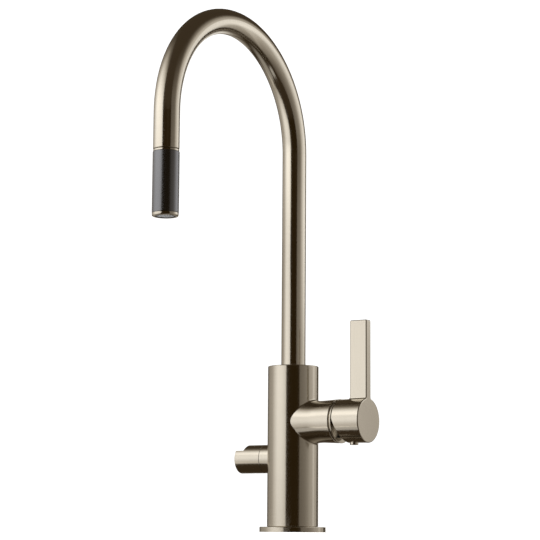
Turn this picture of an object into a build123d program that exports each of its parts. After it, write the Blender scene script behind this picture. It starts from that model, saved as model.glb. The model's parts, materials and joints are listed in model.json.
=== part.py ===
from build123d import *
import math
import os

# Pull-out kitchen faucet. Millimetres, +Z up, the deck is the plane Z = 0.
# The column stands on the Z axis, the spout reaches towards -Y, the mixer knob is on +X
# and the shut-off valve on -X.

# Clearances, and how far two equal heights may differ
slip_gap = 0.1
running_gap = 0.05
free_gap = 0.3
same_height = 0.0001

# Column and base plate
column_radius = 25.0
column_top = 161.5
column_edge_round = 0.8
plate_overhang = 7.3
plate_thickness = 5.0
plate_edge_round = 0.6
gasket_margin = 3.0
gasket_thickness = 1.5

# Deck fixing, a threaded shank for a 35 mm hole
shank_wall = 1.5
shank_engagement = 10.0
shank_below_deck = 60.0
deck_thickness = 30.0
clamp_overhang = 10.0
clamp_gasket_thickness = 3.0
clamp_washer_thickness = 2.0
mounting_nut_wall = 6.0
mounting_nut_height = 10.0

# Four ports in the column's underside, tapped M8 x 1, and the ways that lead from them
port_tap_radius = 3.5
port_depth = 12.0
port_wall = 1.6
port_edge_gap = 0.6
inlet_port_angle = 53.5
way_radius = 2.0
way_lead = 3.0
branch_way_radius = 1.6
branch_turn_x = -3.0
riser_bend_length = 14.0

# Pull-out hose
hose_radius = 5.5
hose_wall = 2.2
hose_passage_gap = 0.8
hose_below_deck = 106.0
connector_radius = 7.5
connector_end_length = 14.0
ferrule_wall = 1.0
ferrule_length = 15.5

# Spout
spout_radius = 12.0
spout_wall = 1.2
arch_radius = 108.3
arch_height = 374.5
spout_leg_length = 34.5
spout_end_round = 1.0

# Spout swivel in the top of the column
swivel_limit = 70.0
foot_wall = 3.0
foot_bottom_gap = 1.0
foot_skirt = 21.0
foot_tube_lap = 18.0
foot_floor = 3.0
foot_flange_width = 2.6
foot_flange_thickness = 4.0
bearing_thickness = 2.0
cap_nut_ledge = 1.5
cap_nut_thickness = 7.5
o_ring_section = 1.0
o_ring_rises = (5.5, 11.0)
stop_screw_radius = 2.0
stop_screw_recess = 0.4
stop_screw_socket = 1.0
stop_screw_socket_depth = 2.0
stop_slot_depth = 2.2
stop_tip_gap = 0.8

# Mixer arm and trim ring
mixer_height = 106.3
arm_length = 27.3
arm_root_inset = 2.5
arm_root_fillet = 1.8
arm_waist_length = 8.0
arm_waist_radius = 20.2
arm_waist_round = 60.0
arm_rim_radius = 21.2
arm_rim_round = 1.0
arm_thread_depth = 0.8
trim_gap = 1.4
trim_overhang = 0.1
trim_thickness = 1.5
trim_hole_radius = 13.0
trim_edge_round = 0.35

# Mixer knob with its blade lever
knob_length = 30.0
knob_inner_radius = 21.0
knob_outer_radius = 21.4
knob_edge_round = 1.2
knob_bevel_round = 0.5
knob_cavity_radius = 17.6
knob_cavity_depth = 9.0
knob_end_wall = 5.7
bevel_start_height = 2.0
bevel_angle = 20.0
lever_width = 18.9
lever_thickness = 8.6
lever_length = 96.9
lever_edge_round = 1.4
lever_foot_round = 2.0
flow_limit = 20.0
grub_screw_radius = 2.5
grub_screw_length = 10.0
grub_screw_inset = 13.8
plug_radius = 4.1
plug_seat_gap = 1.0
plug_length = 8.2
plug_edge_round = 0.5

# Mixer cartridge, a 35 mm ceramic one
cartridge_radius = 17.5
cartridge_length = 32.5
cartridge_wall = 2.7
cartridge_base_gap = 0.5
cartridge_base_thickness = 8.5
inlet_hole_side = 6.0
inlet_hole_rise = 6.0
outlet_hole_rise = -1.5
cartridge_hole_radius = 2.0
seal_radius = 3.7
seal_thickness = 1.0
fixed_disc_thickness = 4.5
moving_disc_radius = 11.4
moving_disc_thickness = 4.0
mixing_recess_radius = 6.3
mixing_recess_depth = 2.0
carrier_thickness = 5.5
carrier_rail_width = 2.0
carrier_rail_height = 1.2
carrier_rail_offset = 8.5
carrier_rail_length = 12.0
rotor_start_gap = 0.2
pivot_inset = 3.5
stem_pin_radius = 1.5
stem_pin_inset = 1.0
stem_side = 8.0
stem_neck_length = 4.1
stem_ball_radius = 2.3
stem_neck_radius = 1.6
cartridge_nut_hole_radius = 12.5
cartridge_nut_thickness = 6.0
cartridge_nut_inset = 0.3

# Shut-off valve
valve_height = 71.2
valve_radius = 13.95
valve_collar_length = 6.0
valve_joint_gap = 0.4
valve_knob_length = 28.6
valve_knob_edge_round = 0.5
valve_pocket_depth = 21.0
valve_pocket_radius = 9.0
valve_seal_thickness = 1.2
valve_seal_width = 2.9
valve_shell_wall = 1.4
valve_fixed_disc_thickness = 2.8
valve_moving_disc_thickness = 2.6
valve_driver_thickness = 2.4
valve_driver_width = 3.2
valve_window_radius = 1.1
valve_port_radius = 1.7
valve_port_offset = 3.8
valve_spindle_radius = 3.2
valve_spindle_inset = 9.5
valve_o_ring_section = 0.75
valve_o_ring_inset = 3.0
valve_neck_radius = 5.5
valve_neck_length = 6.0
valve_cavity_radius = 9.5
valve_cavity_depth = 6.6
grip_flat_height = 8.2
grip_flat_length = 9.0
grip_step_run = 2.0
valve_screw_radius = 2.0
valve_screw_length = 7.5
valve_screw_inset = 13.1

# Hose end and its swivel nut
nipple_rise = 1.0
nipple_flange_thickness = 2.0
nipple_flange_radius = 7.3
nipple_barb_length = 18.0
nipple_wall = 1.0
nipple_spigot_radius = 4.8
nipple_spigot_length = 10.0
nipple_o_ring_section = 0.9
nut_cone_radius = 8.6
nut_cone_tip_wall = 0.6
nut_cone_straight = 12.0
nut_cone_height = 20.0
nut_thread_radius = 8.0
nut_thread_length = 11.0
dock_gap = 0.15
dock_rise = 1.0
dock_length = 17.0

# Spray head
joint_gap = 0.5
top_ring_radius = 11.8
top_ring_thickness = 1.5
sleeve_radius = 12.2
sleeve_length = 56.3
sleeve_wall = 1.55
sleeve_edge_round = 0.8
core_bore_radius = 7.0
core_aerator_bore_radius = 9.95
bottom_ring_radius = 12.1
bottom_ring_height = 2.9
bottom_ring_edge_round = 1.3
bottom_ring_collar_wall = 0.95
bottom_ring_collar_height = 4.4
filter_thickness = 1.8
check_valve_length = 18.0
check_valve_hole_radius = 3.0
aerator_face_radius = 9.55
aerator_flange_thickness = 1.5
aerator_height = 11.0
aerator_wall = 1.1
insert_thickness = 2.2
insert_recess = 0.4
insert_hole_radius = 0.75
insert_ring_radii = (2.3, 4.4, 6.4)
insert_first_ring_holes = 6
screen_thickness = 0.8
screen_rise = 6.0
aerator_washer_thickness = 1.5
aerator_washer_width = 3.2

# Heights in the deck fixing and the column
plate_radius = column_radius + plate_overhang
hose_passage_radius = hose_radius + hose_passage_gap
hose_bore_radius = hose_radius - hose_wall
port_circle_radius = hose_passage_radius + port_wall + port_tap_radius
shank_bore_radius = port_circle_radius + port_tap_radius + port_edge_gap
shank_radius = shank_bore_radius + shank_wall
plate_bore_radius = shank_radius + free_gap
gasket_inner_radius = plate_bore_radius + gasket_margin
gasket_outer_radius = plate_radius - gasket_margin
port_ceiling = plate_thickness + shank_engagement
port_top = port_ceiling + port_depth
clamp_radius = shank_radius + clamp_overhang
clamp_gasket_low = -deck_thickness - clamp_gasket_thickness
clamp_low = clamp_gasket_low - clamp_washer_thickness

# Radii and heights in the spout swivel
spout_bore_radius = spout_radius - spout_wall
foot_radius = spout_radius + foot_wall
foot_flange_radius = foot_radius + foot_flange_width
swivel_chamber_radius = foot_flange_radius + free_gap + slip_gap
cap_nut_radius = swivel_chamber_radius + cap_nut_ledge
swivel_chamber_top = column_top - cap_nut_thickness
foot_top = swivel_chamber_top - bearing_thickness
foot_bottom = foot_top - foot_skirt
foot_seat = foot_bottom + foot_floor
foot_flange_low = foot_top - foot_flange_thickness
swivel_ledge = foot_flange_low - bearing_thickness
socket_floor = foot_bottom - foot_bottom_gap
stop_height = (foot_flange_low + foot_top) / 2
stop_slot_radius = foot_flange_radius - stop_slot_depth
stop_screw_tip = stop_slot_radius + stop_tip_gap

# Places along the mixer's axis, measured outwards from the column's axis
arm_end = column_radius + arm_length
arm_waist = column_radius + arm_waist_length
arm_root_radius = column_radius - arm_root_inset
arm_start = math.sqrt(column_radius ** 2 - arm_root_radius ** 2) - free_gap
hub_start = arm_end - cartridge_nut_inset
cartridge_end = hub_start - cartridge_nut_thickness
cartridge_start = cartridge_end - cartridge_length
cartridge_base_end = cartridge_start + cartridge_base_thickness
pocket_floor = cartridge_start - cartridge_base_gap
pocket_radius = cartridge_radius + slip_gap
arm_thread_radius = pocket_radius + arm_thread_depth
cartridge_bore_radius = cartridge_radius - cartridge_wall
fixed_disc_end = cartridge_base_end + fixed_disc_thickness
moving_disc_end = fixed_disc_end + moving_disc_thickness
carrier_end = moving_disc_end + carrier_thickness
rotor_start = carrier_end + rotor_start_gap
pivot_place = cartridge_end - pivot_inset
ball_place = carrier_end - stem_ball_radius - free_gap
stem_start = ball_place + stem_neck_length
trim_start = arm_end + trim_gap
trim_end = trim_start + trim_thickness
trim_radius = arm_rim_radius + trim_overhang
knob_start = trim_end + free_gap
knob_end = knob_start + knob_length
socket_end = knob_end - knob_end_wall
stem_end = socket_end - 5 * slip_gap
grub_screw_place = knob_start + grub_screw_inset
plug_seat = stem_side / 2 + grub_screw_length + plug_seat_gap

# Places along the shut-off valve's axis, measured outwards from the column's axis
valve_collar_end = column_radius + valve_collar_length
valve_pocket_floor = valve_collar_end - valve_pocket_depth
valve_shell_radius = valve_pocket_radius - slip_gap
valve_chamber_radius = valve_shell_radius - valve_shell_wall
valve_disc_radius = valve_chamber_radius - 2 * slip_gap
valve_disc_start = valve_pocket_floor + valve_seal_thickness
valve_disc_joint = valve_disc_start + valve_fixed_disc_thickness
valve_driver_start = valve_disc_joint + valve_moving_disc_thickness
valve_driver_end = valve_driver_start + valve_driver_thickness
valve_window_place = (valve_driver_start + valve_driver_end) / 2
valve_neck_end = valve_collar_end + valve_neck_length
valve_knob_start = valve_collar_end + valve_joint_gap
valve_knob_end = valve_knob_start + valve_knob_length
valve_spindle_end = valve_knob_end - valve_spindle_inset
valve_screw_place = valve_knob_start + valve_screw_inset
grip_flat_start = valve_knob_end - grip_flat_length

# Heights and radii in the hose end and the spray head
reach = 2 * arch_radius
spout_end_height = arch_height - spout_leg_length
ferrule_bore_radius = hose_radius + running_gap
ferrule_radius = ferrule_bore_radius + ferrule_wall
nipple_barb_radius = hose_bore_radius - slip_gap
nipple_bore_radius = nipple_barb_radius - nipple_wall
nipple_flange_start = spout_end_height + nipple_rise
nipple_flange_end = nipple_flange_start + nipple_flange_thickness
nipple_spigot_low = nipple_flange_start - nipple_spigot_length
nipple_o_ring_height = nipple_flange_start - nipple_spigot_length / 2
hose_pull_start = nipple_flange_end + running_gap
nut_bore_radius = ferrule_radius + free_gap
top_ring_top = spout_end_height - joint_gap
nut_thread_low = top_ring_top - nut_thread_length
filter_low = nut_thread_low - filter_thickness
sleeve_top = top_ring_top - top_ring_thickness
sleeve_low = sleeve_top - sleeve_length
core_radius = sleeve_radius - sleeve_wall - running_gap
spray_face = sleeve_low - bottom_ring_height
ring_flange_bore = aerator_face_radius + slip_gap
ring_collar_radius = core_aerator_bore_radius - running_gap
ring_collar_bore = ring_collar_radius - bottom_ring_collar_wall
aerator_low = spray_face + slip_gap
aerator_top = aerator_low + aerator_height
aerator_radius = ring_collar_bore - slip_gap
aerator_bore_radius = aerator_radius - aerator_wall
insert_radius = aerator_bore_radius - running_gap
core_ledge = aerator_top + aerator_washer_thickness

# In both side frames the first axis points up and the third one outwards
mixer_side = Plane(origin=(0, 0, mixer_height), x_dir=(0, 0, 1), z_dir=(1, 0, 0)).location
valve_side = Plane(origin=(0, 0, valve_height), x_dir=(0, 0, 1), z_dir=(-1, 0, 0)).location
spout_end = Pos(0, -reach, 0)


def rod(radius, low, high, at=(0, 0)):
    return Pos(at[0], at[1], (low + high) / 2) * Cylinder(radius, high - low)


def ring(outer, inner, low, high, at=(0, 0)):
    return rod(outer, low, high, at) - rod(inner, low, high, at)


def taper(low_radius, high_radius, low, high):
    return Pos(0, 0, (low + high) / 2) * Cone(low_radius, high_radius, high - low)


def block(x_span, y_span, z_span):
    spans = (x_span, y_span, z_span)
    centre = [(low + high) / 2 for low, high in spans]
    return Pos(*centre) * Box(*[high - low for low, high in spans])


def cross_rod(radius, low, high, place):
    # along a side frame's first axis, at a distance from the column's axis
    return Pos((low + high) / 2, 0, place) * Rot(0, 90, 0) * Cylinder(radius, high - low)


def radial_rod(radius, start, end, height):
    # from the column's axis towards +Y
    return Pos(0, (start + end) / 2, height) * Rot(90, 0, 0) * Cylinder(radius, end - start)


def way(radius, *points):
    # a round water way through a row of points
    shapes = [Pos(*point) * Sphere(radius) for point in points[1:]]
    for start, end in zip(points, points[1:]):
        line = Vector(*end) - Vector(*start)
        frame = Plane(origin=start, z_dir=line).location
        shapes.append(frame * rod(radius, 0, line.length))
    return shapes


def o_ring(outer_radius, section, height):
    return Pos(0, 0, height) * Torus(outer_radius - section, section)


def o_ring_groove(outer_radius, section, height):
    floor = outer_radius - 2 * section - running_gap
    half = section + running_gap
    return ring(outer_radius + section, floor, height - half, height + half)


def rims(solid, height):
    # the circles that lie in one plane across the solid's own axis
    circles = solid.edges().filter_by(GeomType.CIRCLE)
    return [edge for edge in circles if abs(edge.arc_center.Z - height) < same_height]


def base_plate():
    plate = rod(plate_radius, 0, plate_thickness)
    plate = fillet(rims(plate, plate_thickness), plate_edge_round)
    plate = plate - rod(plate_bore_radius, 0, plate_thickness)
    return plate - ring(gasket_outer_radius, gasket_inner_radius, 0, gasket_thickness)


def deck_gasket():
    return ring(gasket_outer_radius - slip_gap, gasket_inner_radius + slip_gap, 0, gasket_thickness)


def threaded_shank():
    return ring(shank_radius, shank_bore_radius, -shank_below_deck, port_ceiling)


def clamp_gasket():
    return ring(clamp_radius, shank_radius + free_gap, clamp_gasket_low, -deck_thickness)


def clamp_washer():
    return ring(clamp_radius, shank_radius + free_gap, clamp_low, clamp_gasket_low)


def mounting_nut():
    low = clamp_low - mounting_nut_height
    hexagon = RegularPolygon(shank_radius + mounting_nut_wall, 6, major_radius=False)
    return Pos(0, 0, low) * extrude(hexagon, mounting_nut_height) - rod(shank_radius, low, clamp_low)


def inlet_port(side):
    angle = math.radians(inlet_port_angle)
    return port_circle_radius * math.cos(angle), side * port_circle_radius * math.sin(angle)


def inlet_way(side):
    x, y = inlet_port(side)
    turn = (x, y, mixer_height)
    seat = (pocket_floor, side * inlet_hole_side, mixer_height + inlet_hole_rise)
    return way(way_radius, (x, y, port_top - way_lead), turn, seat)


def mixed_way():
    # between the hose passage and the cartridge pocket, with as much wall on either side
    x = (hose_passage_radius + pocket_floor) / 2
    bend = port_top + riser_bend_length
    turn = (x, 0, mixer_height + outlet_hole_rise)
    seat = (pocket_floor, 0, mixer_height + outlet_hole_rise)
    return way(way_radius, (port_circle_radius, 0, port_top - way_lead), (x, 0, bend), turn, seat)


def branch_way():
    # cold water to the shut-off valve, past the hose passage
    x, y = inlet_port(-1)
    seat = (-valve_pocket_floor, -valve_port_offset, valve_height)
    return way(branch_way_radius, (x, y, valve_height), (branch_turn_x, y, valve_height), seat)


def valve_outlet_way():
    start = (-port_circle_radius, 0, port_top - way_lead)
    bend = (-valve_window_place, 0, port_top + riser_bend_length)
    seat = (-valve_window_place, 0, valve_height - valve_pocket_radius)
    return way(branch_way_radius, start, bend, seat)


def ports():
    places = [inlet_port(1), inlet_port(-1), (port_circle_radius, 0), (-port_circle_radius, 0)]
    return [rod(port_tap_radius, plate_thickness, port_top, at) for at in places]


def main_body():
    body = rod(column_radius, plate_thickness, column_top)
    body = fillet(rims(body, column_top) + rims(body, plate_thickness), column_edge_round)
    body = body - rod(shank_radius, plate_thickness, port_ceiling)
    body = body - rod(hose_passage_radius, plate_thickness, column_top)
    body = body - rod(foot_radius + running_gap, socket_floor, swivel_chamber_top)
    body = body - rod(swivel_chamber_radius, swivel_ledge, swivel_chamber_top)
    body = body - rod(cap_nut_radius, swivel_chamber_top, column_top)
    body = body - mixer_side * rod(pocket_radius, pocket_floor, arm_end)
    body = body - valve_side * rod(valve_pocket_radius, valve_pocket_floor, valve_collar_end)
    body = body - radial_rod(stop_screw_radius, 0, plate_radius, stop_height)
    return body - ports() - inlet_way(1) - inlet_way(-1) - mixed_way() - branch_way() - valve_outlet_way()


def arm_body():
    # waisted, and begun a little inside the column
    outline = make_face(Polyline((0, arm_start), (arm_root_radius, arm_start), (arm_waist_radius, arm_waist),
                                 (arm_rim_radius, arm_end), (0, arm_end), close=True))
    corner = outline.vertices().sort_by_distance((arm_waist_radius, arm_waist))[0]
    arm = revolve(Plane.XZ * fillet(corner, arm_waist_round), Axis.Z)
    return mixer_side * fillet(rims(arm, arm_end), arm_rim_round)


def mixer_arm():
    column = rod(column_radius, valve_height, swivel_ledge)
    joined = column + arm_body()
    seam = [edge for edge in joined.edges() if edge.geom_type not in (GeomType.CIRCLE, GeomType.LINE)]
    arm = fillet(seam, arm_root_fillet) - column
    arm = arm - mixer_side * rod(pocket_radius, pocket_floor, arm_end)
    return arm - mixer_side * rod(arm_thread_radius, cartridge_end, arm_end)


def trim_ring():
    flange = rod(trim_radius, trim_start, trim_end)
    flange = fillet(rims(flange, trim_start) + rims(flange, trim_end), trim_edge_round)
    hub = rod(arm_thread_radius - slip_gap, hub_start, trim_start)
    return mixer_side * (flange + hub - rod(trim_hole_radius, hub_start, trim_end))


def cartridge_holes():
    inlets = [(inlet_hole_rise, side * inlet_hole_side) for side in (1, -1)]
    return inlets + [(outlet_hole_rise, 0)]


def cartridge_seals():
    end = pocket_floor + seal_thickness
    rings = [ring(seal_radius, cartridge_hole_radius, pocket_floor, end, at) for at in cartridge_holes()]
    return Compound(children=[mixer_side * one for one in rings])


def cartridge_housing():
    housing = rod(cartridge_radius, cartridge_start, cartridge_end)
    housing = housing - rod(cartridge_bore_radius, cartridge_base_end, cartridge_end)
    for at in cartridge_holes():
        housing = housing - rod(cartridge_hole_radius, cartridge_start, cartridge_base_end, at)
        housing = housing - rod(seal_radius + running_gap, cartridge_start, pocket_floor + seal_thickness, at)
    return mixer_side * housing


def cartridge_fixed_disc():
    disc = rod(cartridge_bore_radius - slip_gap, cartridge_base_end, fixed_disc_end)
    for at in cartridge_holes():
        disc = disc - rod(cartridge_hole_radius, cartridge_base_end, fixed_disc_end, at)
    return mixer_side * disc


def cartridge_moving_disc():
    disc = rod(moving_disc_radius, fixed_disc_end, moving_disc_end)
    recess = rod(mixing_recess_radius, fixed_disc_end, fixed_disc_end + mixing_recess_depth)
    return mixer_side * (disc - recess)


def carrier_rail(gap, end):
    # the two rails, or with a gap the grooves that they slide in
    half_width = carrier_rail_width / 2 + gap
    half_length = cartridge_radius if gap else carrier_rail_length / 2
    spans = [(y - half_width, y + half_width) for y in (carrier_rail_offset, -carrier_rail_offset)]
    return [block((-half_length, half_length), span, (carrier_end, end)) for span in spans]


def disc_carrier():
    carrier = rod(moving_disc_radius, moving_disc_end, carrier_end)
    carrier = carrier + carrier_rail(0, carrier_end + carrier_rail_height)
    height = stem_ball_radius + 2 * free_gap
    side = stem_ball_radius + 2 * slip_gap
    floor = ball_place - stem_ball_radius - 2 * slip_gap
    return mixer_side * (carrier - block((-height, height), (-side, side), (floor, carrier_end)))


def cartridge_rotor():
    rotor = rod(cartridge_bore_radius - slip_gap, rotor_start, cartridge_end)
    tilt = math.radians(flow_limit)
    height = stem_side / 2 / math.cos(tilt) + (pivot_place - rotor_start) * math.tan(tilt) + free_gap
    side = stem_side / 2 + slip_gap
    rotor = rotor - block((-height, height), (-side, side), (rotor_start, cartridge_end))
    rotor = rotor - carrier_rail(slip_gap, carrier_end + carrier_rail_height + free_gap)
    return mixer_side * (rotor - pivot_rod(stem_pin_radius, cartridge_bore_radius))


def pivot_rod(radius, half_length):
    return Pos(0, 0, pivot_place) * Rot(90, 0, 0) * Cylinder(radius, 2 * half_length)


def stem_pin():
    return mixer_side * pivot_rod(stem_pin_radius, cartridge_bore_radius - stem_pin_inset)


def cartridge_stem():
    half = stem_side / 2
    bar = block((-half, half), (-half, half), (stem_start, stem_end))
    neck = rod(stem_neck_radius, ball_place, stem_start)
    ball = Pos(0, 0, ball_place) * Sphere(stem_ball_radius)
    pin_hole = pivot_rod(stem_pin_radius + running_gap, stem_side)
    return mixer_side * (bar + neck + ball - pin_hole)


def cartridge_nut():
    return mixer_side * ring(arm_thread_radius, cartridge_nut_hole_radius, cartridge_end, hub_start)


def knob_bevel():
    # the wedge that lets the knob tip until its lower inner edge comes to the trim ring
    depth = 2 * knob_outer_radius
    run = depth * math.tan(math.radians(bevel_angle))
    low = bevel_start_height - depth
    before = knob_start - trim_thickness
    corners = [(bevel_start_height, knob_start), (low, knob_start + run), (low, before),
               (bevel_start_height, before)]
    return extrude(Plane.XZ * make_face(Polyline(*corners, close=True)), depth, both=True)


def on_lever_foot(edge):
    # where the blade's narrow side and its two wide faces meet the knob's barrel
    middle = edge.center()
    radius = math.hypot(middle.X, middle.Y)
    on_barrel = knob_inner_radius - lever_foot_round < radius < knob_outer_radius + free_gap
    inside = abs(middle.Y) < lever_thickness / 2 + slip_gap
    along = knob_end - lever_width - slip_gap < middle.Z < knob_end - knob_edge_round / 2
    return middle.X > 0 and on_barrel and inside and along


def knob_with_lever():
    knob = taper(knob_inner_radius, knob_outer_radius, knob_start, knob_end)
    half = lever_thickness / 2
    blade = block((0, lever_length), (-half, half), (knob_end - lever_width, knob_end))
    blade = fillet(blade.edges().filter_by(Axis.X).sort_by(Axis.Z)[:2], lever_edge_round)
    handle = knob + blade
    handle = fillet([edge for edge in handle.edges() if on_lever_foot(edge)], lever_foot_round)
    tip = handle.faces().filter_by(Plane.YZ).sort_by(Axis.X)[-1]
    handle = fillet(tip.outer_wire().edges(), lever_edge_round)
    end_face = handle.faces().filter_by(Plane.XY).sort_by(Axis.Z)[-1]
    return fillet(end_face.outer_wire().edges(), knob_edge_round)


def on_inner_rim(edge):
    # the barrel's inner end, round its flat half and its bevelled half
    lowest = min(at.Z for at in edge.positions([0, 0.5, 1]))
    return edge.geom_type != GeomType.LINE and lowest < knob_start + knob_bevel_round


def mixer_handle():
    handle = knob_with_lever() - knob_bevel()
    handle = fillet([edge for edge in handle.edges() if on_inner_rim(edge)], knob_bevel_round)
    handle = handle - rod(knob_cavity_radius, knob_start, knob_start + knob_cavity_depth)
    half = stem_side / 2 + slip_gap
    handle = handle - block((-half, half), (-half, half), (knob_start, socket_end))
    below = -2 * knob_outer_radius
    handle = handle - cross_rod(grub_screw_radius, below, 0, grub_screw_place)
    return mixer_side * (handle - cross_rod(plug_radius + running_gap, below, -plug_seat, grub_screw_place))


def handle_set_screw():
    high = -stem_side / 2
    return mixer_side * cross_rod(grub_screw_radius - running_gap, high - grub_screw_length, high,
                                  grub_screw_place)


def set_screw_plug():
    plug = rod(plug_radius, plug_seat, plug_seat + plug_length)
    plug = fillet(rims(plug, plug_seat + plug_length), plug_edge_round)
    return mixer_side * (Pos(0, 0, grub_screw_place) * Rot(0, -90, 0) * plug)


def valve_collar():
    collar = ring(valve_radius, valve_pocket_radius, valve_pocket_floor, valve_collar_end)
    return valve_side * collar - rod(column_radius, 0, column_top)


def valve_seal():
    inner = valve_shell_radius - valve_seal_width
    return valve_side * ring(valve_shell_radius, inner, valve_pocket_floor, valve_disc_start)


def valve_fixed_disc():
    disc = rod(valve_disc_radius, valve_disc_start, valve_disc_joint)
    port = rod(valve_port_radius, valve_disc_start, valve_disc_joint, (0, -valve_port_offset))
    return valve_side * (disc - port)


def valve_moving_disc():
    # shut at rest, its port a quarter turn away from the fixed disc's
    disc = rod(valve_disc_radius, valve_disc_joint, valve_driver_start)
    port = rod(valve_port_radius, valve_disc_joint, valve_driver_start, (-valve_port_offset, 0))
    return valve_side * (disc - port)


def valve_headwork():
    shell = rod(valve_shell_radius, valve_disc_start, valve_collar_end)
    shell = shell + rod(valve_neck_radius, valve_collar_end, valve_neck_end)
    shell = shell - rod(valve_chamber_radius, valve_disc_start, valve_driver_end + slip_gap)
    shell = shell - rod(valve_spindle_radius + running_gap, valve_disc_start, valve_neck_end)
    return valve_side * (shell - cross_rod(valve_window_radius, -valve_radius, 0, valve_window_place))


def valve_o_ring_place():
    return valve_collar_end - valve_o_ring_inset


def valve_spindle():
    half_width = valve_driver_width / 2
    driver = block((-half_width, half_width), (-valve_disc_radius, valve_disc_radius),
                   (valve_driver_start, valve_driver_end))
    driver = driver & rod(valve_disc_radius, valve_driver_start, valve_driver_end)
    spindle = driver + rod(valve_spindle_radius, valve_driver_start, valve_spindle_end)
    return valve_side * (spindle - o_ring_groove(valve_spindle_radius, valve_o_ring_section,
                                                 valve_o_ring_place()))


def valve_spindle_o_ring():
    return valve_side * o_ring(valve_spindle_radius, valve_o_ring_section, valve_o_ring_place())


def valve_grip_cut():
    # one half of the knob's outer end is cut away down to a flat
    above = 2 * valve_radius
    beyond = valve_knob_end + valve_joint_gap
    corners = [(grip_flat_height, beyond), (grip_flat_height, grip_flat_start),
               (above, grip_flat_start - grip_step_run * (above - grip_flat_height) / valve_pocket_radius),
               (above, beyond)]
    return extrude(Plane.XZ * make_face(Polyline(*corners, close=True)), above, both=True)


def valve_knob():
    knob = rod(valve_radius, valve_knob_start, valve_knob_end) - valve_grip_cut()
    end_face = knob.faces().filter_by(Plane.XY).sort_by(Axis.Z)[-1]
    knob = fillet(end_face.outer_wire().edges(), valve_knob_edge_round)
    knob = fillet(rims(knob, valve_knob_start), valve_knob_edge_round / 2)
    knob = knob - rod(valve_cavity_radius, valve_knob_start, valve_knob_start + valve_cavity_depth)
    bore_end = valve_spindle_end + 5 * slip_gap
    knob = knob - rod(valve_spindle_radius + running_gap, valve_knob_start, bore_end)
    return valve_side * (knob - cross_rod(valve_screw_radius, -2 * valve_radius, 0, valve_screw_place))


def valve_set_screw():
    high = -valve_spindle_radius
    return valve_side * cross_rod(valve_screw_radius - running_gap, high - valve_screw_length, high,
                                  valve_screw_place)


def arched_tube(outer, inner, riser_low, leg_low):
    # riser, half-circle arch and straight leg on the spout's centre line
    section = Pos(0, 0, arch_height) * (Circle(outer) - Circle(inner))
    axis = Axis((0, -arch_radius, arch_height), (1, 0, 0))
    tube = ring(outer, inner, riser_low, arch_height) + revolve(section, axis, 180)
    if leg_low < arch_height:
        tube = tube + spout_end * ring(outer, inner, leg_low, arch_height)
    return tube


def spout_tube():
    tube = arched_tube(spout_radius, spout_bore_radius, foot_seat, spout_end_height)
    mouth = max(rims(tube, spout_end_height), key=lambda edge: edge.radius)
    return fillet(mouth, spout_end_round)


def stop_sector():
    # the sector about +Y that the stop screw sweeps in the foot's flange
    half = swivel_limit + math.degrees(math.asin((stop_screw_radius + free_gap) / stop_screw_tip))
    steps = 12
    angles = [math.radians(90 - half + 2 * half * step / steps) for step in range(steps + 1)]
    radius = 2 * foot_flange_radius
    rim = [(radius * math.cos(angle), radius * math.sin(angle)) for angle in angles]
    face = make_face(Polyline((0, 0), *rim, close=True))
    return Pos(0, 0, foot_flange_low) * extrude(face, foot_flange_thickness)


def spout_foot():
    foot = rod(foot_radius, foot_bottom, foot_top)
    foot = foot + rod(foot_flange_radius, foot_flange_low, foot_top)
    foot = foot - rod(spout_radius, foot_seat, foot_top)
    foot = foot - rod(hose_passage_radius + free_gap, foot_bottom, foot_seat)
    for rise in o_ring_rises:
        foot = foot - o_ring_groove(foot_radius, o_ring_section, foot_bottom + rise)
    slot = ring(foot_flange_radius + free_gap, stop_slot_radius, foot_flange_low, foot_top)
    return foot - (slot & stop_sector())


def spout_o_rings():
    return Compound(children=[o_ring(foot_radius, o_ring_section, foot_bottom + rise) for rise in o_ring_rises])


def swivel_bearing_lower():
    outer = foot_flange_radius + 2 * slip_gap
    return ring(outer, foot_radius + running_gap, swivel_ledge, foot_flange_low)


def swivel_bearing_upper():
    outer = foot_flange_radius + 2 * slip_gap
    return ring(outer, spout_radius + free_gap, foot_top, swivel_chamber_top)


def spout_cap_nut():
    return ring(cap_nut_radius, spout_radius + free_gap, swivel_chamber_top, column_top - slip_gap)


def swivel_stop_screw():
    outer = column_radius - stop_screw_recess
    screw = radial_rod(stop_screw_radius - running_gap, stop_screw_tip, outer, stop_height)
    return screw - radial_rod(stop_screw_socket, outer - stop_screw_socket_depth, outer, stop_height)


def docking_bush():
    low = spout_end_height + dock_rise
    outer = spout_bore_radius - running_gap
    return spout_end * ring(outer, nut_cone_radius + dock_gap, low, low + dock_length)


def hose_lower():
    return ring(hose_radius, hose_bore_radius, -hose_below_deck, foot_bottom)


def hose_upper():
    return arched_tube(hose_radius, hose_bore_radius, foot_bottom, arch_height)


def hose_pull():
    return spout_end * ring(hose_radius, hose_bore_radius, hose_pull_start, arch_height)


def hose_connector():
    low = -hose_below_deck - connector_end_length
    body = ring(connector_radius, hose_bore_radius, low, -hose_below_deck)
    crimp = ring(ferrule_radius, ferrule_bore_radius, -hose_below_deck, ferrule_length - hose_below_deck)
    return body + crimp


def hose_ferrule():
    return spout_end * ring(ferrule_radius, ferrule_bore_radius, hose_pull_start,
                            hose_pull_start + ferrule_length)


def hose_nipple():
    barb_top = nipple_flange_end + nipple_barb_length
    nipple = rod(nipple_flange_radius, nipple_flange_start, nipple_flange_end)
    nipple = nipple + rod(nipple_barb_radius, nipple_flange_end, barb_top)
    nipple = nipple + rod(nipple_spigot_radius, nipple_spigot_low, nipple_flange_start)
    nipple = nipple - rod(nipple_bore_radius, nipple_spigot_low, barb_top)
    return spout_end * (nipple - o_ring_groove(nipple_spigot_radius, nipple_o_ring_section,
                                               nipple_o_ring_height))


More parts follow.
